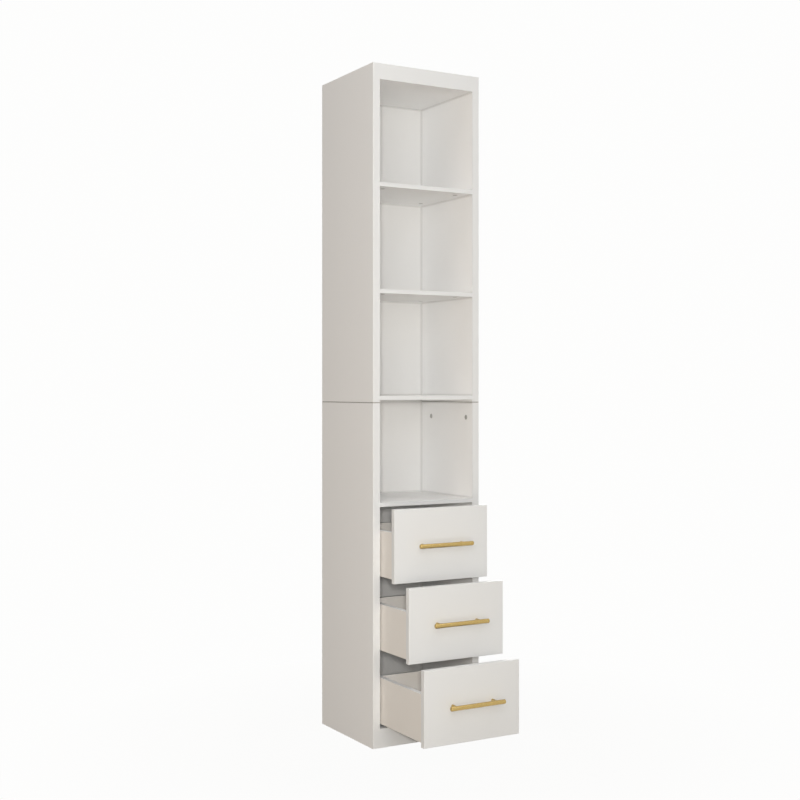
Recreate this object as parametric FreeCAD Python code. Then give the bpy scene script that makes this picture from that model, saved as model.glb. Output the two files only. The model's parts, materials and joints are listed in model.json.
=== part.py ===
import FreeCAD, Part
import os

os.makedirs("parts", exist_ok=True)

# Tall two-module cabinet: open shelves above, three drawers below.
# Sizes are in millimetres. Seen from the front, x runs right, y to the rear and z up.
# The origin is on the floor, midway between the sides, in the plane of the front edges.

# Outside of the closed cabinet
width = 368.0
depth = 332.0
height = 2000.0
lower_module_height = 1008.5

# Carcass boards
side_thickness = 23.0
shelf_thickness = 12.0
rail_thickness = 16.0
back_thickness = 5.0
back_inset = 25.5  # from the back panel to the rear edges of the sides
back_groove_depth = 8.0
header_height = 46.0
plinth_height = 56.0
rear_rail_height = 60.0
upper_bottom_lift = 8.0  # from the seam between the modules up to the upper bottom panel
upper_bay_count = 3
carcass_chamfer = 1.0

# Drawers: they stand open by one, two and three steps from the top one down
drawer_places = ["bottom", "middle", "top"]
pull_out_share = 0.306  # of the runner's length, for one step
front_height = 213.9
front_thickness = 16.0
front_gap = 1.6
front_chamfer = 0.8
drawer_side_thickness = 16.0
drawer_side_height = 134.5
drawer_side_lift = 11.5  # from the lower edge of the front up to the drawer side
drawer_side_gap = 5.0  # from the cabinet wall to the drawer side
drawer_bottom_thickness = 5.0
drawer_bottom_recess = 13.0  # from the lower edge of the drawer side up to the bottom panel
drawer_groove_depth = 6.0
drawer_back_thickness = 14.0
front_housing_depth = 5.0  # the drawer sides are let into the front by this much

# Handles
handle_length = 180.0
handle_post_spacing = 134.0
handle_bar_radius = 6.5
handle_post_radius = 4.5
handle_standoff = 29.0  # from the front to the middle of the bar
handle_end_chamfer = 0.8
handle_screw_radius = 2.0
handle_screw_grip = 10.0
handle_screw_head_radius = 4.2
handle_screw_head_height = 2.4

# Undermount runners: three nested rails a side, all bent from one gauge of sheet steel
runner_rear_gap = 14.5  # to the back panel, which leaves room for runners of 270
runner_sheet = 1.5
runner_offset = 24.0  # from the cabinet wall to the channel
runner_width = 18.0
runner_lip = 5.0
runner_flange_height = 27.0  # above the lower edge of the drawer side
runner_under_gap = 1.5  # below the lower edge of the drawer side
runner_end_set = 1.0
middle_rail_set = 10.0  # the middle rail is shorter by this much at each end
running_clearance = 0.3
runner_screw_inset = 20.0
runner_screw_rise = 13.0  # above the lower edge of the drawer side
runner_screw_radius = 1.8
runner_screw_grip = 12.0
runner_screw_head_radius = 3.4
runner_screw_head_height = 1.8
rail_tab_rise = 13.0  # the tab behind the drawer back stands this far above the drawer bottom
rail_pin_radius = 2.5  # the tab's pin goes into the drawer back
rail_pin_grip = 9.0
clip_length = 44.0  # the clip behind the front that locks a drawer to its rail
clip_width = 20.0
clip_height = 10.0
clip_lever_length = 28.0
clip_lever_width = 9.0
clip_lever_thickness = 3.0

# Cam locks, their bolts, and the dowels
cam_radius = 7.5
cam_floor = 2.5  # board left behind a cam lock
shelf_cam_setback = 34.0
cam_first_row = 45.0  # behind the front edges
cam_last_row = 51.5  # in front of the back panels
module_cam_setback = 46.5  # below the seam between the modules
module_row_stagger = 8.0  # the bolts between the modules stand this much further forward
bolt_radius = 3.0
bolt_grip = 10.5
dowel_radius = 3.0
dowel_grip = 14.0
top_dowel_shares = [0.25, 0.75]  # of the depth of the top panel
fitting_sides = 16  # cam locks and screw heads have this many sides, which keeps them light
hidden_sides = 6  # bolts, dowels and holes that never show have this many

# Pilot holes for an anti-tip strap
strap_hole_radius = 1.5
strap_hole_depth = 12.0
strap_hole_spacing = 64.0

fit_clearance = 0.2
overrun = 5.0  # how far a cut runs on past the board
hair = 0.01

# Places that follow from the sizes
inner_half = width / 2 - side_thickness
back_front = depth - back_inset - back_thickness
upper_bottom_low = lower_module_height + upper_bottom_lift
ceiling_low = height - header_height
top_low = height - shelf_thickness
bay_room = ceiling_low - upper_bottom_low - upper_bay_count * shelf_thickness
bay_height = bay_room / upper_bay_count
bottom_low = plinth_height - shelf_thickness
front_pitch = front_height + front_gap
fixed_shelf_low = plinth_height + front_gap + len(drawer_places) * front_pitch
cam_depth = shelf_thickness - cam_floor
cam_rows = [cam_first_row, back_front - cam_last_row]
module_rows = [row - module_row_stagger for row in cam_rows]
rail_middle = rail_thickness / 2
rear_rail_front = depth - rail_thickness
runner_front = front_thickness + runner_end_set
runner_length = back_front - runner_rear_gap - runner_front

centre = FreeCAD.Vector(0, 0, 0)
right = FreeCAD.Vector(1, 0, 0)
rear = FreeCAD.Vector(0, 1, 0)
up = FreeCAD.Vector(0, 0, 1)


def block(x_low, x_high, y_low, y_high, z_low, z_high):
    corner = FreeCAD.Vector(x_low, y_low, z_low)
    return Part.makeBox(x_high - x_low, y_high - y_low, z_high - z_low, corner)


def sided_rod(sides, radius, start, direction, length):
    rim = Part.makeCircle(radius, start, direction).discretize(sides + 1)
    return Part.Face(Part.makePolygon(rim)).extrude(direction * length)


def hidden_rod(radius, start, direction, length):
    return sided_rod(hidden_sides, radius, start, direction, length)


def sheet_profile(outline, y_low, length):
    points = [FreeCAD.Vector(x, y_low, z) for x, z in outline]
    return Part.Face(Part.makePolygon(points + points[:1])).extrude(rear * length)


def mirrored(shape):
    return shape.mirror(centre, right)


def both_sides(shapes):
    return shapes + [mirrored(shape) for shape in shapes]


def lies_at(edge, axis, level):
    return all(abs(vertex.Point[axis] - level) < hair for vertex in edge.Vertexes)


def save(node, shape):
    shape.exportStep("parts/" + node + ".step")


def save_group(node, shapes):
    save(node, Part.makeCompound(shapes))


# Cam locks and dowels are made in the left half and mirrored to the right.
# What is cut for them goes through the board and on into the side that it meets.

cam_locks = []
cam_bolts = []
module_bolts = []
dowels = []


def cam_joint(seat, mouth, pull, setback, bolts):
    # The seat is the middle of the cam on the board's face and the mouth points out of it.
    # The pull points along the bolt, out of the board's end and into its neighbour.
    floor = seat - mouth * cam_depth
    bolt_start = seat - mouth * (shelf_thickness / 2) + pull * (cam_radius / 2)
    bolt_length = setback - cam_radius / 2 + bolt_grip
    bolt = hidden_rod(bolt_radius, bolt_start, pull, bolt_length)
    room_length = bolt_length + fit_clearance
    room = hidden_rod(bolt_radius + fit_clearance, bolt_start, pull, room_length)
    lock = sided_rod(fitting_sides, cam_radius, floor, mouth, cam_depth).cut(room)
    pocket_radius = cam_radius + fit_clearance
    pocket = sided_rod(fitting_sides, pocket_radius, floor, mouth, cam_depth + overrun)
    cam_locks.extend(both_sides([lock]))
    bolts.extend(both_sides([bolt]))
    return pocket, room


def cam_board(z_low, y_low, mouth):
    # A board between the sides, with a cam lock near each corner
    board = block(-inner_half, inner_half, y_low, back_front, z_low, z_low + shelf_thickness)
    face = board.BoundBox.ZMax if mouth == up else board.BoundBox.ZMin
    pockets = []
    rooms = []
    for row in cam_rows:
        seat = FreeCAD.Vector(shelf_cam_setback - inner_half, row, face)
        pocket, room = cam_joint(seat, mouth, -right, shelf_cam_setback, cam_bolts)
        pockets.append(pocket)
        rooms.append(room)
    return board.cut(both_sides(pockets + rooms)), rooms


def dowelled_board(y_low, y_high, z_low, z_high, dowel_places):
    # A board or rail between the sides, with the same dowels at each end
    board = block(-inner_half, inner_half, y_low, y_high, z_low, z_high)
    rooms = []
    for y, z in dowel_places:
        start = FreeCAD.Vector(-inner_half - dowel_grip, y, z)
        dowels.extend(both_sides([hidden_rod(dowel_radius, start, right, 2 * dowel_grip)]))
        room_start = start - right * fit_clearance
        room_length = 2 * (dowel_grip + fit_clearance)
        rooms.append(hidden_rod(dowel_radius + fit_clearance, room_start, right, room_length))
    return board.cut(both_sides(rooms)), rooms


def left_side(z_low, z_high, groove_low, groove_high, rooms):
    side = block(-width / 2, -inner_half, 0, depth, z_low, z_high)
    arrises = []
    for edge in side.Edges:
        outer_front = lies_at(edge, 0, -width / 2) and lies_at(edge, 1, 0)
        if outer_front or lies_at(edge, 2, lower_module_height):
            arrises.append(edge)
    side = side.makeChamfer(carcass_chamfer, arrises)
    groove_bottom = -inner_half - back_groove_depth
    groove_front = back_front - fit_clearance
    groove_rear = back_front + back_thickness + fit_clearance
    groove_side = -inner_half + overrun
    groove = block(groove_bottom, groove_side, groove_front, groove_rear, groove_low, groove_high)
    return side.cut([groove] + rooms)


def back_panel(z_low, z_high):
    half = inner_half + back_groove_depth - fit_clearance
    return block(-half, half, back_front, back_front + back_thickness, z_low, z_high)


# Upper module

upper_rooms = []

for number in range(upper_bay_count):
    shelf_low = upper_bottom_low + number * (bay_height + shelf_thickness)
    shelf, rooms = cam_board(shelf_low, 0, -up)
    save("upper_shelf_%d" % number if number else "upper_bottom_panel", shelf)
    upper_rooms += rooms

ceiling_panel, rooms = cam_board(ceiling_low, rail_thickness, up)
save("ceiling_panel", ceiling_panel)
upper_rooms += rooms

header_dowels = [(rail_middle, ceiling_low + header_height / 2)]
header_rail, rooms = dowelled_board(0, rail_thickness, ceiling_low, height, header_dowels)
save("header_rail", header_rail)
upper_rooms += rooms

top_depth = depth - rail_thickness
top_dowel_rows = [rail_thickness + share * top_depth for share in top_dowel_shares]
top_dowels = [(row, top_low + shelf_thickness / 2) for row in top_dowel_rows]
top_panel, rooms = dowelled_board(rail_thickness, depth, top_low, height, top_dowels)
save("top_panel", top_panel)
upper_rooms += rooms

upper_rail_low = top_low - rear_rail_height
upper_rail_mid = upper_rail_low + rear_rail_height / 2
rail_dowels = [(depth - rail_middle, upper_rail_mid)]
upper_rail, rooms = dowelled_board(rear_rail_front, depth, upper_rail_low, top_low, rail_dowels)
strap_hole_end = depth - strap_hole_depth
strap_hole_start = FreeCAD.Vector(-strap_hole_spacing / 2, strap_hole_end, upper_rail_mid)
strap_hole_run = strap_hole_depth + overrun
strap_hole = Part.makeCylinder(strap_hole_radius, strap_hole_run, strap_hole_start, rear)
save("upper_rear_rail", upper_rail.cut(both_sides([strap_hole])))
upper_rooms += rooms

save("upper_back_panel", back_panel(upper_bottom_low, top_low))

# Lower module

lower_rooms = []

fixed_shelf, rooms = cam_board(fixed_shelf_low, 0, -up)
save("fixed_shelf", fixed_shelf)
lower_rooms += rooms

bottom_panel, rooms = cam_board(bottom_low, rail_thickness, -up)
save("bottom_panel", bottom_panel)
lower_rooms += rooms

plinth_dowels = [(rail_middle, bottom_low / 2)]
front_plinth, rooms = dowelled_board(0, rail_thickness, 0, plinth_height, plinth_dowels)
save("front_plinth", front_plinth)
lower_rooms += rooms

plinth_dowels = [(back_front - rail_middle, bottom_low / 2)]
rear_plinth_front = back_front - rail_thickness
rear_plinth, rooms = dowelled_board(rear_plinth_front, back_front, 0, bottom_low, plinth_dowels)
save("rear_plinth", rear_plinth)
lower_rooms += rooms

rail_top = lower_module_height
rail_low = rail_top - rear_rail_height
rail_dowels = [(depth - rail_middle, rail_low + rear_rail_height / 2)]
lower_rail, rooms = dowelled_board(rear_rail_front, depth, rail_low, rail_top, rail_dowels)
save("lower_rear_rail", lower_rail)
lower_rooms += rooms

# This panel stands up past the seam, in the grooves of the upper sides, and hides the seam at the back
save("lower_back_panel", back_panel(bottom_low, upper_bottom_low - fit_clearance))

# The cam locks near the top of the lower sides pull bolts that stand in the upper sides
for row in module_rows:
    module_seat = FreeCAD.Vector(-inner_half, row, lower_module_height - module_cam_setback)
    pocket, room = cam_joint(module_seat, right, up, module_cam_setback, module_bolts)
    lower_rooms += [pocket, room]
    upper_rooms.append(room)

# Undermount runners. An outline holds (inward from the wall, up from the drawer side's lower edge).

channel_near = runner_offset
channel_far = runner_offset + runner_width
channel_middle = runner_offset + runner_width / 2
lip_near = channel_near + runner_sheet + runner_lip
lip_far = channel_far - runner_sheet - runner_lip
web_top = -runner_under_gap
web_low = web_top - runner_sheet
foot_low = web_top + running_clearance
foot_top = foot_low + runner_sheet
wall_lip_low = foot_top + running_clearance
wall_lip_top = wall_lip_low + runner_sheet
plate_low = drawer_bottom_recess - runner_sheet
head_top = plate_low - running_clearance
head_low = head_top - runner_sheet
drawer_lip_top = head_low - running_clearance
drawer_lip_low = drawer_lip_top - runner_sheet
foot_half = runner_width / 2 - runner_sheet - running_clearance

wall_rail_outline = [
    (0, web_low),
    (channel_far, web_low),
    (channel_far, wall_lip_top),
    (lip_far, wall_lip_top),
    (lip_far, wall_lip_low),
    (channel_far - runner_sheet, wall_lip_low),
    (channel_far - runner_sheet, web_top),
    (channel_near + runner_sheet, web_top),
    (channel_near + runner_sheet, wall_lip_low),
    (lip_near, wall_lip_low),
    (lip_near, wall_lip_top),
    (channel_near, wall_lip_top),
    (channel_near, web_top),
    (runner_sheet, web_top),
    (runner_sheet, runner_flange_height),
    (0, runner_flange_height),
]

middle_rail_outline = [
    (channel_middle - foot_half, foot_low),
    (channel_middle + foot_half, foot_low),
    (channel_middle + foot_half, foot_top),
    (channel_middle + runner_sheet, foot_top),
    (channel_middle + runner_sheet, head_low),
    (channel_middle + foot_half, head_low),
    (channel_middle + foot_half, head_top),
    (channel_middle - foot_half, head_top),
    (channel_middle - foot_half, head_low),
    (channel_middle - runner_sheet, head_low),
    (channel_middle - runner_sheet, foot_top),
    (channel_middle - foot_half, foot_top),
]

drawer_rail_outline = [
    (channel_near, drawer_lip_low),
    (lip_near, drawer_lip_low),
    (lip_near, drawer_lip_top),
    (channel_near + runner_sheet, drawer_lip_top),
    (channel_near + runner_sheet, plate_low),
    (channel_far - runner_sheet, plate_low),
    (channel_far - runner_sheet, drawer_lip_top),
    (lip_far, drawer_lip_top),
    (lip_far, drawer_lip_low),
    (channel_far, drawer_lip_low),
    (channel_far, drawer_bottom_recess),
    (channel_near, drawer_bottom_recess),
]

runner_screws = []


def rail(outline, side_low, y_low, length):
    placed = [(inward - inner_half, side_low + rise) for inward, rise in outline]
    return sheet_profile(placed, y_low, length)


def rail_pin(side_low, y_start, radius, grip):
    x = channel_middle - inner_half
    z = side_low + drawer_bottom_recess + drawer_bottom_thickness + rail_tab_rise / 2
    return hidden_rod(radius, FreeCAD.Vector(x, y_start, z), -rear, grip)


def drawer_rail(side_low, y_end):
    # Under the drawer's bottom, with a tab and a pin behind the drawer's back that hold it down
    channel_end = y_end - runner_end_set
    channel = rail(drawer_rail_outline, side_low, runner_front, channel_end - runner_front)
    near = channel_near - inner_half
    far = channel_far - inner_half
    plate_top = side_low + drawer_bottom_recess
    tab_front = y_end + fit_clearance
    tab_rear = tab_front + runner_sheet
    tab_top = plate_top + drawer_bottom_thickness + rail_tab_rise
    foot = block(near, far, channel_end, tab_rear, plate_top - runner_sheet, plate_top)
    tab = block(near, far, tab_front, tab_rear, plate_top - runner_sheet, tab_top)
    pin = rail_pin(side_low, tab_front, rail_pin_radius, rail_pin_grip)
    return channel.fuse([foot, tab, pin]).removeSplitter()


def screwed_wall_rail(side_low):
    # Returns the rail with its screw holes, and the holes to drill in the side
    wall_rail = rail(wall_rail_outline, side_low, runner_front, runner_length)
    z = side_low + runner_screw_rise
    holes = []
    for y in [runner_front + runner_screw_inset, runner_front + runner_length - runner_screw_inset]:
        tip = FreeCAD.Vector(-inner_half - runner_screw_grip, y, z)
        shank_length = runner_screw_grip + runner_sheet
        shank = hidden_rod(runner_screw_radius, tip, right, shank_length)
        seat = FreeCAD.Vector(-inner_half + runner_sheet, y, z)
        head = hidden_rod(runner_screw_head_radius, seat, right, runner_screw_head_height)
        runner_screws.extend(both_sides([shank.fuse(head)]))
        hole_start = tip - right * fit_clearance
        hole_radius = runner_screw_radius + fit_clearance
        holes.append(hidden_rod(hole_radius, hole_start, right, shank_length + overrun))
    return wall_rail.cut(holes), holes


def locking_clip(side_low):
    near = channel_far + running_clearance - inner_half
    far = near + clip_width
    clip_top = side_low + drawer_bottom_recess
    clip_low = clip_top - clip_height
    body = block(near, far, front_thickness, front_thickness + clip_length, clip_low, clip_top)
    lever_end = front_thickness + clip_lever_length
    lever_top = clip_low + clip_lever_thickness
    lever_tip = far + clip_lever_width
    lever = block(far, lever_tip, front_thickness, lever_end, clip_low, lever_top)
    rear_edges = [edge for edge in lever.Edges if lies_at(edge, 1, lever_end)]
    corner = [edge for edge in rear_edges if lies_at(edge, 0, lever_tip)]
    lever = lever.makeChamfer(clip_lever_width / 2, corner)
    return body.fuse(lever).removeSplitter()


# Drawers


def drawer_side(side_low, y_end):
    outer = -inner_half + drawer_side_gap
    inner = outer + drawer_side_thickness
    panel_low = side_low + drawer_bottom_recess
    panel_top = panel_low + drawer_bottom_thickness
    y_start = front_thickness - front_housing_depth
    side_top = side_low + drawer_side_height
    side = block(outer, inner, y_start, y_end, side_low, side_top)
    cut_bottom = inner - drawer_groove_depth
    cut_side = inner + overrun
    cut_rear = y_end + overrun
    groove_low = panel_low - fit_clearance
    groove_top = panel_top + fit_clearance
    groove = block(cut_bottom, cut_side, -overrun, cut_rear, groove_low, groove_top)
    rabbet_front = y_end - drawer_back_thickness
    rabbet = block(cut_bottom, cut_side, rabbet_front, cut_rear, panel_top, side_top + overrun)
    return side.cut([groove, rabbet])


def drawer_front(front_low, side_low, screw_rooms):
    half = inner_half - front_gap
    front = block(-half, half, 0, front_thickness, front_low, front_low + front_height)
    face_edges = [edge for edge in front.Edges if lies_at(edge, 1, 0)]
    front = front.makeChamfer(front_chamfer, face_edges)
    cut_front = front_thickness - front_housing_depth - fit_clearance
    cut_rear = front_thickness + overrun
    outer = inner_half - drawer_side_gap
    inner = outer - drawer_side_thickness
    housing = block(
        -outer - fit_clearance,
        -inner + fit_clearance,
        cut_front,
        cut_rear,
        side_low - fit_clearance,
        side_low + drawer_side_height + fit_clearance,
    )
    panel_low = side_low + drawer_bottom_recess
    panel_room_low = panel_low - fit_clearance
    panel_room_top = panel_low + drawer_bottom_thickness + fit_clearance
    panel_room = block(-inner, inner, cut_front, cut_rear, panel_room_low, panel_room_top)
    return front.cut(both_sides([housing]) + [panel_room] + screw_rooms)


def drawer_panels(side_low, y_end):
    # The bottom slides in under the back, which stands on it and in the rabbets of the sides
    inner = inner_half - drawer_side_gap - drawer_side_thickness
    half = inner + drawer_groove_depth - fit_clearance
    panel_low = side_low + drawer_bottom_recess
    panel_top = panel_low + drawer_bottom_thickness
    panel_front = front_thickness - front_housing_depth
    bottom = block(-half, half, panel_front, y_end, panel_low, panel_top)
    back_top = side_low + drawer_side_height
    back = block(-half, half, y_end - drawer_back_thickness, y_end, panel_top, back_top)
    pin_radius = rail_pin_radius + fit_clearance
    pin_room = rail_pin(side_low, y_end, pin_radius, rail_pin_grip + fit_clearance)
    return bottom, back.cut(both_sides([pin_room]))


def handle(middle):
    # Returns the bar, the posts, the screws and the holes that the screws need in the front
    bar_start = FreeCAD.Vector(-handle_length / 2, -handle_standoff, middle)
    bar = Part.makeCylinder(handle_bar_radius, handle_length, bar_start, right)
    seat_cut = bar.copy()
    end_edges = [edge for edge in bar.Edges if len(edge.Vertexes) == 1]
    bar = bar.makeChamfer(handle_end_chamfer, end_edges)
    foot = FreeCAD.Vector(-handle_post_spacing / 2, 0, middle)
    post = Part.makeCylinder(handle_post_radius, handle_standoff, foot, -rear).cut(seat_cut)
    screw_seat = foot + rear * front_thickness
    shank_length = front_thickness + handle_screw_grip
    shank = hidden_rod(handle_screw_radius, screw_seat, -rear, shank_length)
    head_radius = handle_screw_head_radius
    head = sided_rod(fitting_sides, head_radius, screw_seat, rear, handle_screw_head_height)
    room_radius = handle_screw_radius + fit_clearance
    room = hidden_rod(room_radius, screw_seat, -rear, shank_length + fit_clearance)
    posts = both_sides([post.cut(room)])
    screws = both_sides([shank.fuse(head)])
    return bar, posts, screws, both_sides([room])


for number, place in enumerate(drawer_places):
    front_low = plinth_height + front_gap + number * front_pitch
    side_low = front_low + drawer_side_lift
    y_end = front_thickness + runner_length
    steps_out = len(drawer_places) - number
    pulled = -rear * (steps_out * pull_out_share * runner_length)
    half_pulled = pulled * 0.5

    bar, posts, screws, screw_rooms = handle(front_low + front_height / 2)
    bottom, back = drawer_panels(side_low, y_end)
    left = drawer_side(side_low, y_end)
    drawer_nodes = {
        "front": drawer_front(front_low, side_low, screw_rooms),
        "left_side": left,
        "right_side": mirrored(left),
        "back": back,
        "bottom": bottom,
        "handle_bar": bar,
        "handle_posts": Part.makeCompound(posts),
        "handle_screws": Part.makeCompound(screws),
        "rails": Part.makeCompound(both_sides([drawer_rail(side_low, y_end)])),
        "clips": Part.makeCompound(both_sides([locking_clip(side_low)])),
    }
    for name, shape in drawer_nodes.items():
        save(place + "_drawer_" + name, shape.translated(pulled))

    middle_front = runner_front + middle_rail_set
    middle_length = runner_length - 2 * middle_rail_set
    middle_rail = rail(middle_rail_outline, side_low, middle_front, middle_length)
    save_group(place + "_middle_rails", both_sides([middle_rail.translated(half_pulled)]))

    wall_rail, holes = screwed_wall_rail(side_low)
    save_group(place + "_wall_rails", both_sides([wall_rail]))
    lower_rooms += holes

# Sides and fasteners come last, once every hole in them is known

upper_side = left_side(lower_module_height, height, lower_module_height, top_low, upper_rooms)
save("upper_left_side", upper_side)
save("upper_right_side", mirrored(upper_side))

lower_side = left_side(0, lower_module_height, bottom_low, lower_module_height, lower_rooms)
save("lower_left_side", lower_side)
save("lower_right_side", mirrored(lower_side))

save_group("cam_locks", cam_locks)
save_group("cam_bolts", cam_bolts)
save_group("module_bolts", module_bolts)
save_group("dowels", dowels)
save_group("runner_screws", runner_screws)
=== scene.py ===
import json
import math

import bpy
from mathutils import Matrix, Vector


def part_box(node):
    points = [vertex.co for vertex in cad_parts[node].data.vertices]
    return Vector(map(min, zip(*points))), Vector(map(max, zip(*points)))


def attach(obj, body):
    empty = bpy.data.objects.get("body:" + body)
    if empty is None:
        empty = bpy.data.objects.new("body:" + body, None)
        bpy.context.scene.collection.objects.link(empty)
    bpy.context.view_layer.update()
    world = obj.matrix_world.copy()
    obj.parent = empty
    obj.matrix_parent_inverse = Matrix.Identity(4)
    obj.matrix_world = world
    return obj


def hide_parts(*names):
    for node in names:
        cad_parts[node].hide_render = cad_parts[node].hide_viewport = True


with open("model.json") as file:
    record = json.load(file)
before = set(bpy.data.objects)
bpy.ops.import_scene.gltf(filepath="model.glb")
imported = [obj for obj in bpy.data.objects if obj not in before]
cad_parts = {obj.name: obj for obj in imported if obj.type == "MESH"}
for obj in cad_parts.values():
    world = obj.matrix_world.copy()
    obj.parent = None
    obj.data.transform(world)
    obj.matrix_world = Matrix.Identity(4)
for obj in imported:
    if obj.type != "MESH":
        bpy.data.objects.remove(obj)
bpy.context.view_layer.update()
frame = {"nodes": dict(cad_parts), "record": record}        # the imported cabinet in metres: x runs right, y to the rear and z up
cadNodes = frame["nodes"]
scene = bpy.context.scene
drawerPlaces = ["bottom", "middle", "top"]
print("frame loaded with", len(cadNodes), "nodes")


# Node trees

class Wire:
    # One output socket. Sums written with it become Math nodes.
    def __init__(self, graph, socket):
        self.graph = graph
        self.socket = socket

    def __add__(self, other):
        return self.graph.math("ADD", self, other)

    __radd__ = __add__

    def __sub__(self, other):
        return self.graph.math("SUBTRACT", self, other)

    def __rsub__(self, other):
        return self.graph.math("SUBTRACT", other, self)

    def __mul__(self, other):
        return self.graph.math("MULTIPLY", self, other)

    __rmul__ = __mul__

    def __truediv__(self, other):
        return self.graph.math("DIVIDE", self, other)

    def __pow__(self, other):
        return self.graph.math("POWER", self, other)

    def __gt__(self, other):
        return self.graph.math("GREATER_THAN", self, other)

    def __lt__(self, other):
        return self.graph.math("LESS_THAN", self, other)

    def sibling(self, name):
        return Wire(self.graph, self.socket.node.outputs[name])


class Graph:
    def __init__(self, tree):
        self.tree = tree

    def node(self, kind, settings=None, sockets=None, output=0):
        # Settings go first, because they decide which sockets a node shows
        made = self.tree.nodes.new(kind)
        for name, value in (settings or {}).items():
            setattr(made, name, value)
        for name, value in (sockets or {}).items():
            for part in value if isinstance(value, list) else [value]:
                if isinstance(part, Wire):
                    self.tree.links.new(part.socket, made.inputs[name])
                else:
                    made.inputs[name].default_value = part
        return Wire(self, made.outputs[output]) if made.outputs else made

    def math(self, operation, *values):
        return self.node("ShaderNodeMath", {"operation": operation}, dict(enumerate(values)))

    def mix(self, share, low, high):
        # Each end is a colour of three numbers or another wire
        ends = [end if isinstance(end, Wire) else (*end, 1.0) for end in (low, high)]
        sockets = {"Factor": share, 6: ends[0], 7: ends[1]}
        return self.node("ShaderNodeMix", {"data_type": "RGBA"}, sockets, 2)

    def noise(self, place, size, detail=2.0):
        # The size is that of one blotch, in metres
        sockets = {"Vector": place, "Scale": 1 / size, "Detail": detail}
        return self.node("ShaderNodeTexNoise", None, sockets)

    def drawnOutX(self, place, width, length):
        # Stretches a pattern along x, so that blotches of the width become streaks of the length
        sockets = {"Vector": place, "Scale": (width / length, 1, 1)}
        return self.node("ShaderNodeMapping", None, sockets)

    def bump(self, height, strength, distance):
        sockets = {"Height": height, "Strength": strength, "Distance": distance}
        return self.node("ShaderNodeBump", None, sockets)


# Materials. Sizes are in metres.

def newFinish(name):
    material = bpy.data.materials.new(name)
    material.use_nodes = True
    material.node_tree.nodes.clear()
    graph = Graph(material.node_tree)
    place = graph.node("ShaderNodeTexCoord", output="Object")
    return material, graph, place


def closeFinish(material, graph, surface):
    graph.node("ShaderNodeOutputMaterial", None, {"Surface": surface})
    return material


whiteBoard = {
    "tones": {        # the lighter and the darker of two close whites, and the roughness between them
        "carcassLacquer": ((0.92, 0.917, 0.912), (0.905, 0.901, 0.895), 0.40),
        # the fronts' white is darker than the carcass's, as painted shade against the strong light on
        # the faces towards the lamps
        "frontLacquer": ((0.81, 0.815, 0.815), (0.79, 0.795, 0.794), 0.36),
        "drawerBoxFoil": ((0.85, 0.815, 0.77), (0.83, 0.795, 0.75), 0.46),
        "backPanelFoil": ((0.78, 0.772, 0.76), (0.76, 0.752, 0.74), 0.50),
    },
    "driftSize": 0.45,        # broad, faint changes of tone
    "speckSize": 0.012,
    "speckShare": 0.22,
    "roughnessSpread": 0.12,
    "peelSize": 0.0016,        # the orange peel of sprayed lacquer
    "peelStrength": 0.35,
    "peelDepth": 0.00006,
    "seamShadeReach": 0.0014,        # painted shade: a thin grey line on the chamfers where the two modules meet, in place of the shadow in that groove
    "seamShadeTone": (0.36, 0.345, 0.32),
    "frontBandAndShadeReach": 0.0011,        # edge banding on the cabinet's front edges, with its eased corners, set darker than the boards as painted shade against the strong frontal light
    "frontBandAndShadeTone": (0.78, 0.785, 0.785),
    "drawerBandReach": 0.0004,        # and on the top edges of the drawer sides, lighter than the boxes as painted light from above
    "drawerBandTone": (0.95, 0.95, 0.95),
}
# painted shade for the inner corners of the bays, which the lamps leave too bright
bayCornerShade = {
    "boards": ["ceiling_panel", "upper_shelf_1", "upper_shelf_2", "fixed_shelf"],
    "reach": 0.008,
    "ownFace": 0.0004,        # nearer than this, a point lies in the face itself
    "tone": (0.42, 0.41, 0.39),
    "share": 0.42,
}


def awayFrom(graph, height, level):
    return graph.math("ABSOLUTE", height - level)


def paintedCornerShade(graph, span, depth, height):
    # Painted shade: a soft dark line along the inner corners of the bays, strongest in the corner and
    # gone at the reach
    sideLow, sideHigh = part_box("upper_left_side")
    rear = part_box("upper_back_panel")[0].y
    levels = [(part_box(board)[0].z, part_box(board)[1].z) for board in bayCornerShade["boards"]]
    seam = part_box("lower_left_side")[1].z
    levels.append((seam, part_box("upper_bottom_panel")[1].z))
    toBoard = 1.0
    for under, top in levels:
        offset = awayFrom(graph, height, (under + top) / 2) - (top - under) / 2
        toBoard = graph.math("MINIMUM", toBoard, offset)
    line = 0.0
    for gap in (toBoard, -sideHigh.x - span, rear - depth):
        fade = graph.node("ShaderNodeMapRange", {"interpolation_type": "SMOOTHSTEP"}, {
            "Value": gap,
            "From Max": bayCornerShade["reach"],
            "To Min": 1.0,
            "To Max": 0.0,
        })
        line = graph.math("MAXIMUM", line, fade * (gap > bayCornerShade["ownFace"]))
    isInside = span < -sideLow.x - bayCornerShade["ownFace"]
    isBeforeBack = depth < rear + bayCornerShade["ownFace"]
    return line * isInside * isBeforeBack * bayCornerShade["share"]


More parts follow.
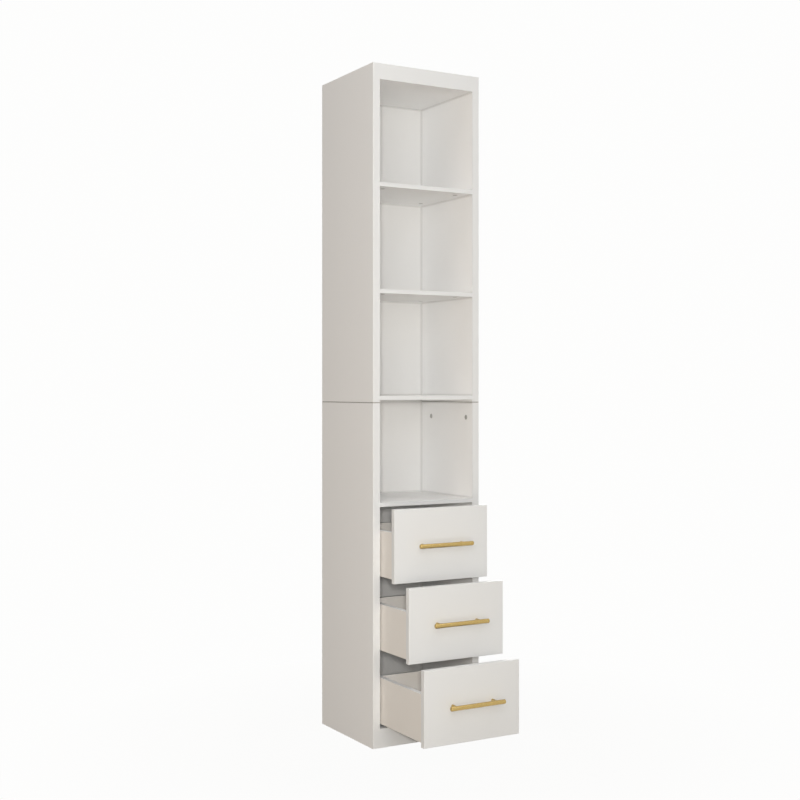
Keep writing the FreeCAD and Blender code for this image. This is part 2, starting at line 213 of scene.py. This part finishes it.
def bandsAndPaintedLight(name, graph, place, colour):
    # Painted shade in the inner corners of the bays and along the seam between the modules, and edge
    # banding whose tones also carry painted shade on the front edges and painted light on the drawer
    # sides' top edges
    split = graph.node("ShaderNodeSeparateXYZ", None, {"Vector": place})
    depth, height = split.sibling("Y"), split.sibling("Z")
    # painted shade in the inner corners of the bays
    if name in ("carcassLacquer", "backPanelFoil"):
        span = graph.math("ABSOLUTE", split)
        colour = graph.mix(paintedCornerShade(graph, span, depth, height), colour, bayCornerShade["tone"])
    if name == "carcassLacquer":
        # front edges: edge banding, darkened as painted shade
        isFace = depth > whiteBoard["frontBandAndShadeReach"]
        colour = graph.mix(isFace, whiteBoard["frontBandAndShadeTone"], colour)
        # painted shade along the seam between the modules
        offset = awayFrom(graph, height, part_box("lower_left_side")[1].z)
        colour = graph.mix(offset > whiteBoard["seamShadeReach"], whiteBoard["seamShadeTone"], colour)
    if name == "drawerBoxFoil":
        # the drawer sides' top edges: edge banding, lightened as painted light from above
        for drawer in drawerPlaces:
            offset = awayFrom(graph, height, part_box(drawer + "_drawer_left_side")[1].z)
            isFace = offset > whiteBoard["drawerBandReach"]
            colour = graph.mix(isFace, whiteBoard["drawerBandTone"], colour)
    return colour


def boardFinish(name):
    material, graph, place = newFinish(name)
    light, shade, roughness = whiteBoard["tones"][name]
    drift = graph.noise(place, whiteBoard["driftSize"], detail=3.0)
    speck = graph.noise(place, whiteBoard["speckSize"])
    tone = drift * (1 - whiteBoard["speckShare"]) + speck * whiteBoard["speckShare"]
    peel = graph.noise(place, whiteBoard["peelSize"], detail=1.0)
    shader = graph.node("ShaderNodeBsdfPrincipled", None, {
        "Base Color": bandsAndPaintedLight(name, graph, place, graph.mix(tone, shade, light)),
        "Roughness": roughness + (speck - 0.5) * whiteBoard["roughnessSpread"],
        "Normal": graph.bump(peel, whiteBoard["peelStrength"], whiteBoard["peelDepth"]),
    })
    return closeFinish(material, graph, shader)


satinGold = {
    "light": (0.54, 0.388, 0.148),
    "dark": (0.495, 0.353, 0.130),
    "cloudSize": 0.016,
    "brushWidth": 0.0005,        # fine lines left by the brushing, which run along the bar
    "brushLength": 0.03,
    "brushStrength": 0.03,
    "brushDepth": 0.00002,
    "roughness": 0.27,
    "roughnessSpread": 0.05,
}


def goldFinish():
    material, graph, place = newFinish("satinGold")
    streaks = graph.drawnOutX(place, satinGold["brushWidth"], satinGold["brushLength"])
    lines = graph.noise(streaks, satinGold["brushWidth"])
    cloud = graph.noise(place, satinGold["cloudSize"])
    shader = graph.node("ShaderNodeBsdfPrincipled", None, {
        "Base Color": graph.mix(cloud, satinGold["dark"], satinGold["light"]),
        "Metallic": 1.0,
        "Roughness": satinGold["roughness"] + (lines - 0.5) * satinGold["roughnessSpread"],
        "Normal": graph.bump(lines, satinGold["brushStrength"], satinGold["brushDepth"]),
    })
    return closeFinish(material, graph, shader)


platedSteel = {
    "light": (0.60, 0.61, 0.62),
    "dark": (0.44, 0.45, 0.46),
    "crystals": {"galvanisedRunner": 0.006, "platedFastener": 0.0008},        # the zinc's spangle
    "roughness": 0.33,
    "roughnessSpread": 0.16,
}


def steelFinish(name):
    material, graph, place = newFinish(name)
    sockets = {"Vector": place, "Scale": 1 / platedSteel["crystals"][name]}
    crystals = graph.node("ShaderNodeTexVoronoi", None, sockets, "Color")
    shine = graph.node("ShaderNodeSeparateColor", None, {"Color": crystals})
    shader = graph.node("ShaderNodeBsdfPrincipled", None, {
        "Base Color": graph.mix(shine, platedSteel["dark"], platedSteel["light"]),
        "Metallic": 1.0,
        "Roughness": platedSteel["roughness"] + shine.sibling("Green") * platedSteel["roughnessSpread"],
    })
    return closeFinish(material, graph, shader)


castZinc = {
    "light": (0.54, 0.53, 0.51),
    "dark": (0.42, 0.41, 0.395),
    "metallic": 0.5,        # the grey skin of a casting shines less than bare metal
    "grainSize": 0.0007,
    "grainStrength": 0.3,
    "grainDepth": 0.00005,
    "roughness": 0.42,
    "roughnessSpread": 0.2,
}


def zincFinish():
    material, graph, place = newFinish("castZinc")
    grain = graph.noise(place, castZinc["grainSize"], detail=3.0)
    shader = graph.node("ShaderNodeBsdfPrincipled", None, {
        "Base Color": graph.mix(grain, castZinc["dark"], castZinc["light"]),
        "Metallic": castZinc["metallic"],
        "Roughness": castZinc["roughness"] + grain * castZinc["roughnessSpread"],
        "Normal": graph.bump(grain, castZinc["grainStrength"], castZinc["grainDepth"]),
    })
    return closeFinish(material, graph, shader)


bareBeech = {
    "light": (0.66, 0.47, 0.29),
    "dark": (0.47, 0.31, 0.18),
    "fleckWidth": 0.0008,
    "fleckLength": 0.02,        # the grain runs along x, as the dowels do
    "roughness": 0.6,
    "roughnessSpread": 0.15,
}


def beechFinish():
    material, graph, place = newFinish("bareBeech")
    streaks = graph.drawnOutX(place, bareBeech["fleckWidth"], bareBeech["fleckLength"])
    grain = graph.noise(streaks, bareBeech["fleckWidth"], detail=3.0)
    shader = graph.node("ShaderNodeBsdfPrincipled", None, {
        "Base Color": graph.mix(grain, bareBeech["dark"], bareBeech["light"]),
        "Roughness": bareBeech["roughness"] + grain * bareBeech["roughnessSpread"],
    })
    return closeFinish(material, graph, shader)


clipPlastic = {
    "light": (0.20, 0.205, 0.215),
    "dark": (0.15, 0.155, 0.165),
    "cloudSize": 0.025,
    "grainSize": 0.00055,
    "grainStrength": 0.25,
    "grainDepth": 0.00004,
    "roughness": 0.42,
    "roughnessSpread": 0.16,
}


def plasticFinish():
    material, graph, place = newFinish("clipPlastic")
    grain = graph.noise(place, clipPlastic["grainSize"])
    cloud = graph.noise(place, clipPlastic["cloudSize"])
    shader = graph.node("ShaderNodeBsdfPrincipled", None, {
        "Base Color": graph.mix(cloud, clipPlastic["dark"], clipPlastic["light"]),
        "Roughness": clipPlastic["roughness"] + grain * clipPlastic["roughnessSpread"],
        "Normal": graph.bump(grain, clipPlastic["grainStrength"], clipPlastic["grainDepth"]),
    })
    return closeFinish(material, graph, shader)


finishes = {
    "carcass_white": boardFinish("carcassLacquer"),
    "front_white": boardFinish("frontLacquer"),
    "drawer_box_white": boardFinish("drawerBoxFoil"),
    "back_white": boardFinish("backPanelFoil"),
    "handle_gold": goldFinish(),
    "runner_steel": steelFinish("galvanisedRunner"),
    "fastener_steel": steelFinish("platedFastener"),
    "cam_zinc": zincFinish(),
    "dowel_wood": beechFinish(),
    "clip_plastic": plasticFinish(),
}

for row in frame["record"]["subparts"]:
    for slot in cadNodes[row["node"]].material_slots:
        slot.material = finishes[row["material_slot"]]
print("finishes made:", len(finishes))


# Pieces that Geometry Nodes repeat. Each tree takes points that carry the way they face.

sharpAngle = 38        # edges with a sharper turn than this many degrees stay crisp
spotDecimals = 6        # corners that agree to so many decimals of a metre are one


def newTree(name, sizes):
    tree = bpy.data.node_groups.new(name, "GeometryNodeTree")
    tree.interface.new_socket(name="Points", in_out="INPUT", socket_type="NodeSocketGeometry")
    for label in sizes:
        tree.interface.new_socket(name=label, in_out="INPUT", socket_type="NodeSocketFloat")
    tree.interface.new_socket(name="Mesh", in_out="OUTPUT", socket_type="NodeSocketGeometry")
    graph = Graph(tree)
    entry = graph.node("NodeGroupInput")
    return graph, entry, {label: entry.sibling(label) for label in sizes}


def closeTree(graph, points, shape, finish):
    # One shape stands on each point, with its z axis turned the way that the point faces
    settings = {"data_type": "FLOAT_VECTOR"}
    facing = graph.node("GeometryNodeInputNamedAttribute", settings, {"Name": "facing"})
    turn = graph.node("FunctionNodeAlignRotationToVector", {"axis": "Z"}, {"Vector": facing})
    sockets = {"Points": points, "Instance": shape, "Rotation": turn}
    placed = graph.node("GeometryNodeInstanceOnPoints", None, sockets)
    plain = graph.node("GeometryNodeRealizeInstances", None, {"Geometry": placed})
    coated = graph.node("GeometryNodeSetMaterial", None, {"Geometry": plain, "Material": finish})
    graph.node("NodeGroupOutput", None, {"Mesh": coated})
    return graph.tree


def xyz(graph, x, y, z):
    return graph.node("ShaderNodeCombineXYZ", None, {"X": x, "Y": y, "Z": z})


def moved(graph, mesh, offset):
    return graph.node("GeometryNodeTransform", None, {"Geometry": mesh, "Translation": offset})


def cylinder(graph, radius, length, middle, sides, rings=1):
    # Stands along z, with its own middle at the given height
    sockets = {"Vertices": sides, "Side Segments": rings, "Radius": radius, "Depth": length}
    mesh = graph.node("GeometryNodeMeshCylinder", {"fill_type": "NGON"}, sockets)
    return moved(graph, mesh, xyz(graph, 0.0, 0.0, middle))


def reshaped(graph, mesh, rule):
    # The rule gets a vertex's x, y and z and returns its new ones
    position = graph.node("GeometryNodeInputPosition")
    x = graph.node("ShaderNodeSeparateXYZ", None, {"Vector": position})
    place = xyz(graph, *rule(x, x.sibling("Y"), x.sibling("Z")))
    return graph.node("GeometryNodeSetPosition", None, {"Geometry": mesh, "Position": place})


def cutOut(graph, body, cutters):
    settings = {"operation": "DIFFERENCE", "solver": "EXACT"}
    return graph.node("GeometryNodeMeshBoolean", settings, {"Mesh 1": body, "Mesh 2": cutters})


def crossCut(graph, head, size, top):
    # A cross recess for the screwdriver, sunk from the top of the head
    span, width = size["Cross Span"], size["Cross Width"]
    cutters = []
    for length, breadth in [(span, width), (width, span)]:
        sockets = {"Size": xyz(graph, length, breadth, size["Cross Depth"] * 2)}
        bar = graph.node("GeometryNodeMeshCube", None, sockets)
        cutters.append(moved(graph, bar, xyz(graph, 0.0, 0.0, top)))
    return cutOut(graph, head, cutters)


def piecesFrom(tree, sizes, name, seats, body):
    # Runs the tree on the seats and keeps the result as one plain mesh that rides on the body
    seeds = bpy.data.meshes.new(name + "Seeds")
    seeds.from_pydata([place for place, way in seats], [], [])
    facing = seeds.attributes.new("facing", "FLOAT_VECTOR", "POINT")
    facing.data.foreach_set("vector", [value for place, way in seats for value in way])
    maker = bpy.data.objects.new(name + "Maker", seeds)
    scene.collection.objects.link(maker)
    modifier = maker.modifiers.new("repeat", "NODES")
    modifier.node_group = tree
    for item in tree.interface.items_tree:
        if item.in_out == "INPUT" and item.name in sizes:
            modifier[item.identifier] = sizes[item.name]
    depsgraph = bpy.context.evaluated_depsgraph_get()
    mesh = bpy.data.meshes.new_from_object(maker.evaluated_get(depsgraph), depsgraph=depsgraph)
    maker.modifiers.remove(modifier)
    bpy.data.objects.remove(maker)
    mesh.name = name
    mesh.shade_smooth()
    mesh.set_sharp_from_angle(angle=math.radians(sharpAngle))
    piece = bpy.data.objects.new(name, mesh)
    scene.collection.objects.link(piece)
    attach(piece, body)
    return piece


def looseBoxes(node):
    # The box of each separate solid in a CAD node, found by joining the triangles that share a corner
    mesh = cadNodes[node].data
    spots = {}
    corners = []
    for vertex in mesh.vertices:
        spot = tuple(round(value, spotDecimals) for value in vertex.co)
        corners.append(spots.setdefault(spot, len(spots)))
    leader = list(range(len(spots)))

    def leaderOf(index):
        while leader[index] != index:
            leader[index] = leader[leader[index]]
            index = leader[index]
        return index

    for face in mesh.polygons:
        first, *others = [corners[index] for index in face.vertices]
        for other in others:
            leader[leaderOf(other)] = leaderOf(first)
    groups = {}
    for spot, index in spots.items():
        groups.setdefault(leaderOf(index), []).append(spot)
    boxes = []
    for group in groups.values():
        low = Vector(min(values) for values in zip(*group))
        high = Vector(max(values) for values in zip(*group))
        boxes.append((low, high))
    return sorted(boxes, key=lambda box: tuple(box[0]))


# Cam locks

camLock = {
    "Radius": 0.0074,
    "Depth": 0.0093,
    "Rim": 0.0005,
    "Cross Span": 0.0068,
    "Cross Width": 0.0017,
    "Cross Depth": 0.0028,
    "Notch": 0.0022,        # the pointer at the rim that shows which way the cam faces
}
notchPlace = 0.72        # how far out the pointer stands, as a share of the radius


def camTree():
    graph, entry, size = newTree("camLockTree", camLock)
    radius, depth, rim = size["Radius"], size["Depth"], size["Rim"]
    disc = cylinder(graph, radius, depth, depth * -0.5, sides=40, rings=2)

    def rimmed(x, y, z):
        # The top ring draws in and the middle one rises to just below it, which bevels the rim
        isTop = z > depth * -0.25
        isMiddle = (z > depth * -0.75) - isTop
        shrink = 1 - isTop * (rim / radius)
        return x * shrink, y * shrink, z - isMiddle * (rim - depth * 0.5)

    head = crossCut(graph, reshaped(graph, disc, rimmed), size, 0.0)
    pointer = cylinder(graph, size["Notch"], rim * 2, 0.0, sides=3)
    pointer = moved(graph, pointer, xyz(graph, radius * notchPlace, 0.0, 0.0))
    return closeTree(graph, entry, cutOut(graph, head, pointer), finishes["cam_zinc"])


def camSeats():
    # A cam is shallower than it is wide, and its mouth is on the bare face of its board
    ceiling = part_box("ceiling_panel")[0].z
    seats = []
    for low, high in looseBoxes("cam_locks"):
        middle = (low + high) / 2
        if high.x - low.x < high.z - low.z:
            way = Vector((-math.copysign(1, middle.x), 0, 0))
            middle.x = low.x if way.x < 0 else high.x
        elif middle.z > ceiling:
            way = Vector((0, 0, 1))
            middle.z = high.z
        else:
            way = Vector((0, 0, -1))
            middle.z = low.z
        seats.append((middle, way))
    return seats


seats = camSeats()
camLocks = piecesFrom(camTree(), camLock, "camLocks", seats, "cabinet")
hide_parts("cam_locks")
print("cam locks placed:", len(seats))


# Screws: a domed head with a cross recess, and its shank below the seat

runnerScrew = {
    "Head Radius": 0.0034,
    "Head Height": 0.0018,
    "Shank Radius": 0.0015,
    "Shank Length": 0.0118,
    "Cross Span": 0.0036,
    "Cross Width": 0.0009,
    "Cross Depth": 0.0011,
}
handleScrew = {
    "Head Radius": 0.0042,
    "Head Height": 0.0024,
    "Shank Radius": 0.0018,
    "Shank Length": 0.0240,
    "Cross Span": 0.0046,
    "Cross Width": 0.0011,
    "Cross Depth": 0.0014,
}
domeDraw = 0.42        # the share of its radius that a head loses towards its top
domePower = 3.0        # a higher power keeps the foot of the dome steeper


def screwTree():
    graph, entry, size = newTree("domedScrewTree", runnerScrew)
    height, length = size["Head Height"], size["Shank Length"]
    blank = cylinder(graph, size["Head Radius"], height, height * 0.5, sides=28, rings=6)

    def domed(x, y, z):
        shrink = 1 - domeDraw * (z / height) ** domePower
        return x * shrink, y * shrink, z

    head = crossCut(graph, reshaped(graph, blank, domed), size, height)
    shank = cylinder(graph, size["Shank Radius"], length, length * -0.5, sides=16)
    whole = graph.node("GeometryNodeJoinGeometry", None, {"Geometry": [head, shank]})
    return closeTree(graph, entry, whole, finishes["fastener_steel"])


def runnerScrewSeats():
    # Each head faces the middle of the cabinet
    seats = []
    for low, high in looseBoxes("runner_screws"):
        seat = (low + high) / 2
        inward = -math.copysign(1, seat.x)
        seat.x = (high.x if inward > 0 else low.x) - inward * runnerScrew["Head Height"]
        seats.append((seat, Vector((inward, 0, 0))))
    return seats


def handleScrewSeats(node):
    # Each head faces the inside of its drawer
    seats = []
    for low, high in looseBoxes(node):
        seat = (low + high) / 2
        seat.y = high.y - handleScrew["Head Height"]
        seats.append((seat, Vector((0, 1, 0))))
    return seats


domedScrew = screwTree()
seats = runnerScrewSeats()
screws = piecesFrom(domedScrew, runnerScrew, "runnerScrews", seats, "cabinet")
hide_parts("runner_screws")

for place in drawerPlaces:
    node = place + "_drawer_handle_screws"
    name, body = place + "HandleScrews", place + "_drawer"
    screws = piecesFrom(domedScrew, handleScrew, name, handleScrewSeats(node), body)
    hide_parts(node)
print("screws placed")


# T-bar handles: the bar lies along x, and its two posts stand on the drawer front

barHandle = {
    "Length": 0.180,
    "Bar Radius": 0.0065,
    "End Round": 0.0014,
    "Post Spacing": 0.134,
    "Post Radius": 0.0045,
    "Standoff": 0.029,
}
barRings = 12        # the inner ones of each half lie 2 / barRings of the way out


def handleTree():
    graph, entry, size = newTree("barHandleTree", barHandle)
    half = size["Length"] * 0.5
    endRound = size["End Round"]
    innerRing = 2 / barRings
    rod = cylinder(graph, size["Bar Radius"], size["Length"], 0.0, sides=56, rings=barRings)

    def roundEnds(x, y, z):
        # The rings at each end gather in the last stretch and follow a quarter circle
        share = graph.math("ABSOLUTE", z) / half
        sockets = {"Value": share, "From Min": innerRing, "From Max": 1.0}
        angle = graph.node("ShaderNodeMapRange", {"clamp": True}, sockets) * (math.pi / 2)
        reach = half - endRound * (1 - graph.math("SINE", angle))
        shrink = 1 - endRound * (1 - graph.math("COSINE", angle)) / size["Bar Radius"]
        isOuter = share > innerRing / 2        # the ring in the middle of the bar stays there
        return x * shrink, y * shrink, graph.math("SIGN", z) * reach * isOuter

    bar = reshaped(graph, rod, roundEnds)
    lying = {"Geometry": bar, "Rotation": (0, math.pi / 2, 0)}
    shapes = [graph.node("GeometryNodeTransform", None, lying)]
    for side in (-0.5, 0.5):
        post = cylinder(graph, size["Post Radius"], size["Standoff"], size["Standoff"] * -0.5, sides=40)
        shapes.append(moved(graph, post, xyz(graph, size["Post Spacing"] * side, 0.0, 0.0)))
    whole = graph.node("GeometryNodeJoinGeometry", None, {"Geometry": shapes})
    return closeTree(graph, entry, whole, finishes["handle_gold"])


handleMaker = handleTree()
for place in drawerPlaces:
    low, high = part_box(place + "_drawer_handle_bar")
    seats = [((low + high) / 2, Vector((0, -1, 0)))]        # the tree's z points away from the front
    name, body = place + "Handle", place + "_drawer"
    handle = piecesFrom(handleMaker, barHandle, name, seats, body)
    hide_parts(place + "_drawer_handle_bar", place + "_drawer_handle_posts")
print("handles placed")


# Floor, backdrop and light

studio = {
    "floorSize": 40.0,
    "floorTone": (0.40, 0.35, 0.29),
    "shadowShare": 0.022,        # how much of the floor's own shading the camera sees near the cabinet
    "shadowNear": 0.5,
    "shadowFar": 1.2,
    "white": 0.985,
    "whiteTint": (1.0, 1.0, 0.995),
    "ambient": 0.18,
    "ambientTint": (1.0, 0.985, 0.96),
}


def whiteRays(graph):
    # 1 where the backdrop is seen straight from the camera or by way of metal or glass
    path = graph.node("ShaderNodeLightPath", output="Is Camera Ray")
    indirect = graph.math("MAXIMUM", path.sibling("Is Glossy Ray"), path.sibling("Is Transmission Ray"))
    return graph.math("MAXIMUM", path, indirect)


def glow(graph, kind, tint, strength):
    return graph.node(kind, None, {"Color": (*studio[tint], 1.0), "Strength": studio[strength]})


def makeFloor():
    half = studio["floorSize"] / 2
    corners = [(-half, -half, 0), (half, -half, 0), (half, half, 0), (-half, half, 0)]
    mesh = bpy.data.meshes.new("studioFloor")
    mesh.from_pydata(corners, [], [(0, 1, 2, 3)])
    floor = bpy.data.objects.new("studioFloor", mesh)
    scene.collection.objects.link(floor)
    material, graph, place = newFinish("studioFloor")
    away = graph.node("ShaderNodeVectorMath", {"operation": "LENGTH"}, {0: place}, "Value")
    near = graph.node("ShaderNodeMapRange", {"clamp": True}, {
        "Value": away,
        "From Min": studio["shadowNear"],
        "From Max": studio["shadowFar"],
        "To Min": 1.0,
        "To Max": 0.0,
    })
    paint = graph.node("ShaderNodeBsdfDiffuse", None, {"Color": (*studio["floorTone"], 1.0)})
    white = glow(graph, "ShaderNodeEmission", "whiteTint", "white")
    share = whiteRays(graph) * (1 - near * studio["shadowShare"])
    surface = graph.node("ShaderNodeMixShader", None, {0: share, 1: paint, 2: white})
    mesh.materials.append(closeFinish(material, graph, surface))


def makeWorld():
    world = bpy.data.worlds.new("studioWorld")
    world.use_nodes = True
    world.node_tree.nodes.clear()
    graph = Graph(world.node_tree)
    ambient = glow(graph, "ShaderNodeBackground", "ambientTint", "ambient")
    white = glow(graph, "ShaderNodeBackground", "whiteTint", "white")
    surface = graph.node("ShaderNodeMixShader", None, {0: whiteRays(graph), 1: ambient, 2: white})
    graph.node("ShaderNodeOutputWorld", None, {"Surface": surface})
    scene.world = world


softboxes = [
    # name, place, height of the target on the cabinet's axis, width and height, watts, colour
    ("cameraSoftbox", (-2.03, -3.36, 1.15), 1.1, (0.3, 0.3), 65.0, (1.0, 0.985, 0.95)),
    ("nearSoftbox", (-1.35, -2.30, 1.90), 1.1, (1.4, 1.4), 16.0, (0.95, 0.98, 1.0)),
    ("keySoftbox", (-1.17, -0.98, 4.36), 1.1, (2.0, 2.0), 22.0, (1.0, 0.96, 0.92)),
    ("lowSoftbox", (-0.55, -1.50, 0.22), 2.6, (0.9, 0.5), 3.3, (1.0, 0.98, 0.93)),
    ("leftSoftbox", (-3.20, -1.35, 1.15), 1.1, (1.6, 1.6), 7.5, (1.0, 0.66, 0.36)),
    ("overheadSoftbox", (0.64, -1.38, 4.36), 1.1, (2.0, 2.0), 23.0, (1.0, 1.0, 1.0)),
    ("rightSoftbox", (3.4, -0.6, 1.6), 1.1, (1.6, 1.6), 11.0, (1.0, 1.0, 1.0)),
    ("rearSoftbox", (1.6, 3.2, 2.2), 1.1, (1.6, 1.6), 45.0, (1.0, 1.0, 1.0)),
]


def makeLights():
    for name, place, target, size, watts, colour in softboxes:
        lamp = bpy.data.lights.new(name, "AREA")
        lamp.shape = "RECTANGLE"
        lamp.size, lamp.size_y = size
        lamp.energy = watts
        lamp.color = colour
        holder = bpy.data.objects.new(name, lamp)
        holder.location = place
        aim = Vector((0.0, 0.0, target)) - Vector(place)
        holder.rotation_euler = aim.to_track_quat("-Z", "Y").to_euler()
        scene.collection.objects.link(holder)


cameraView = {
    "place": (-1.977, -3.273, 1.048),
    "turn": -29.92,        # degrees from looking straight at the front
    "lens": 57.69,        # millimetres, as is the sensor's width
    "sensorWidth": 36.0,
    "shiftY": -0.0135,
}


def makeCamera():
    lens = bpy.data.cameras.new("photoCamera")
    lens.lens = cameraView["lens"]
    lens.sensor_width = cameraView["sensorWidth"]
    lens.shift_y = cameraView["shiftY"]
    camera = bpy.data.objects.new("photoCamera", lens)
    camera.location = cameraView["place"]
    camera.rotation_euler = (math.pi / 2, 0, math.radians(cameraView["turn"]))
    scene.collection.objects.link(camera)
    scene.camera = camera


makeFloor()
makeWorld()
makeLights()
makeCamera()
scene.view_settings.view_transform = "Standard"
print("studio ready")
